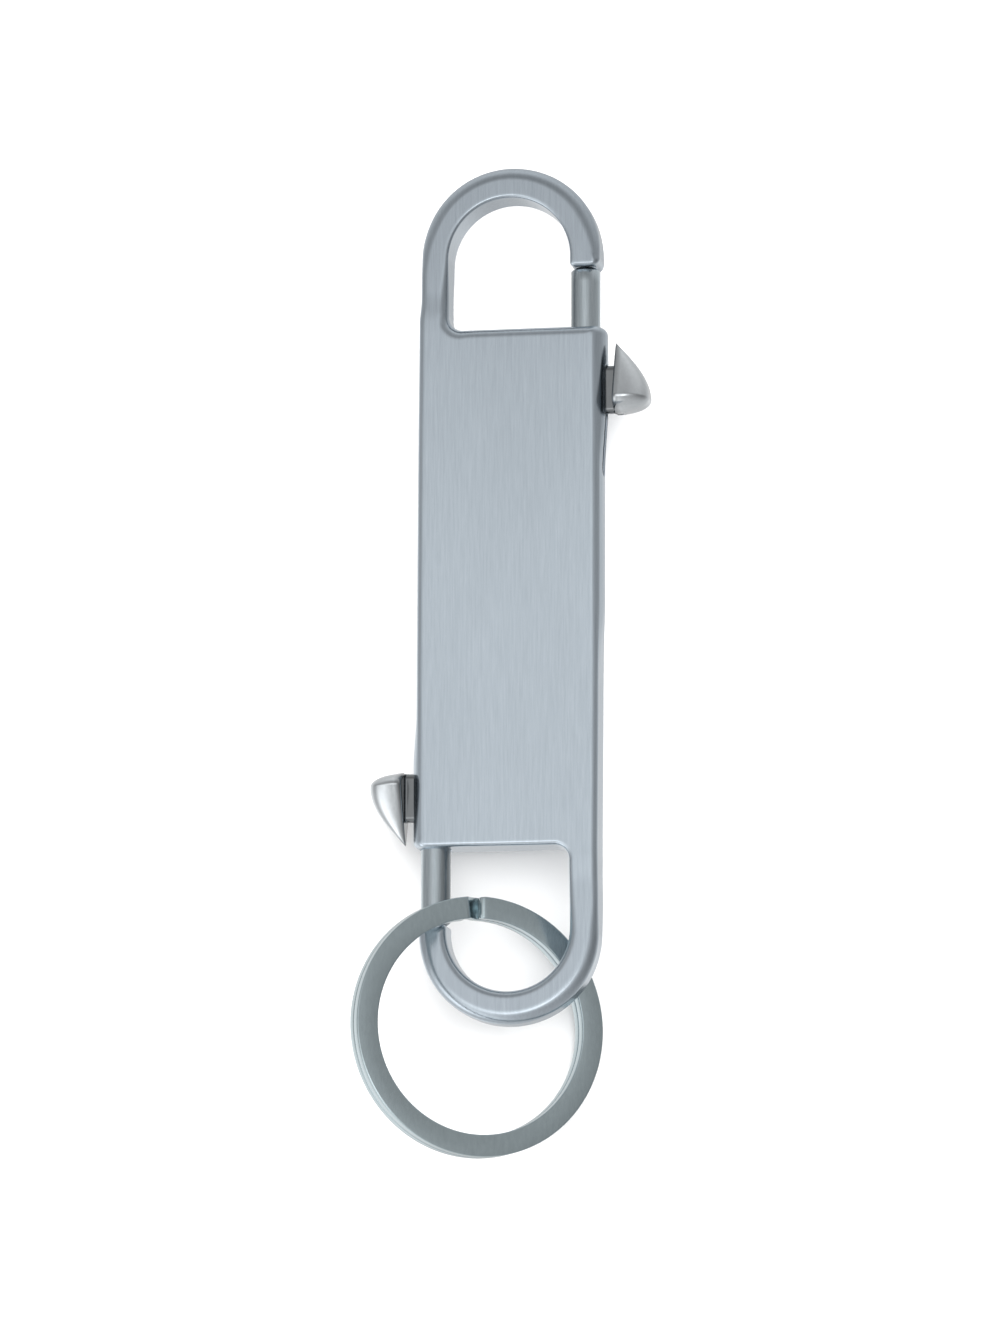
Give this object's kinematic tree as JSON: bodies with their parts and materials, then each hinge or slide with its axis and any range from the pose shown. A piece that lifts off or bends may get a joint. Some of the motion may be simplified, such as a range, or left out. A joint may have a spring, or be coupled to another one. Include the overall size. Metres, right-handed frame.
{
  "type": "double-ended key clip with split ring",
  "caption": "Flat double-ended key clip with a sprung plunger gate and thumb knob at each hook, and a split ring leaning on the lower hook.",
  "frame": {"origin": "centre of the block's flat back face", "axes": "+Y along the clip towards the upper hook, +X towards the side of the upper gate's thumb knob, +Z out of the front face"},
  "size_m": [0.0329, 0.1143, 0.0172],
  "materials": {
    "satin_nickel": "satin nickel plate over a cast body, brushed lengthwise",
    "plunger_nickel": "satin nickel plate over a turned pin",
    "polished_nickel": "polished nickel plate",
    "spring_steel": "drawn spring wire",
    "ring_nickel": "tumbled nickel plate over flat steel wire"
  },
  "bodies": {
    "clip": {"body": "satin_nickel", "upper_spring": "spring_steel", "lower_spring": "spring_steel"},
    "upper_gate": {"upper_plunger": "plunger_nickel", "upper_thumb_knob": "polished_nickel"},
    "lower_gate": {"lower_plunger": "plunger_nickel", "lower_thumb_knob": "polished_nickel"},
    "ring": {"split_ring": "ring_nickel"}
  },
  "joints": [
    {"name": "upper_gate_slide", "type": "slide", "parent": "clip", "child": "upper_gate", "axis": [0, -1, 0], "range_m": [0, 0.007], "stiffness_N_per_m": 150, "springref_m": -0.005, "deforming": ["upper_spring"]},
    {"name": "lower_gate_slide", "type": "slide", "parent": "clip", "child": "lower_gate", "axis": [0, 1, 0], "range_m": [0, 0.007], "stiffness_N_per_m": 150, "springref_m": -0.005, "deforming": ["lower_spring"]},
    {"name": "ring_swing", "type": "hinge", "parent": "clip", "child": "ring", "pos_m": [0, -0.05, 0.0025], "axis": [0, 1, 0], "range_deg": [0, 110]}
  ]
}
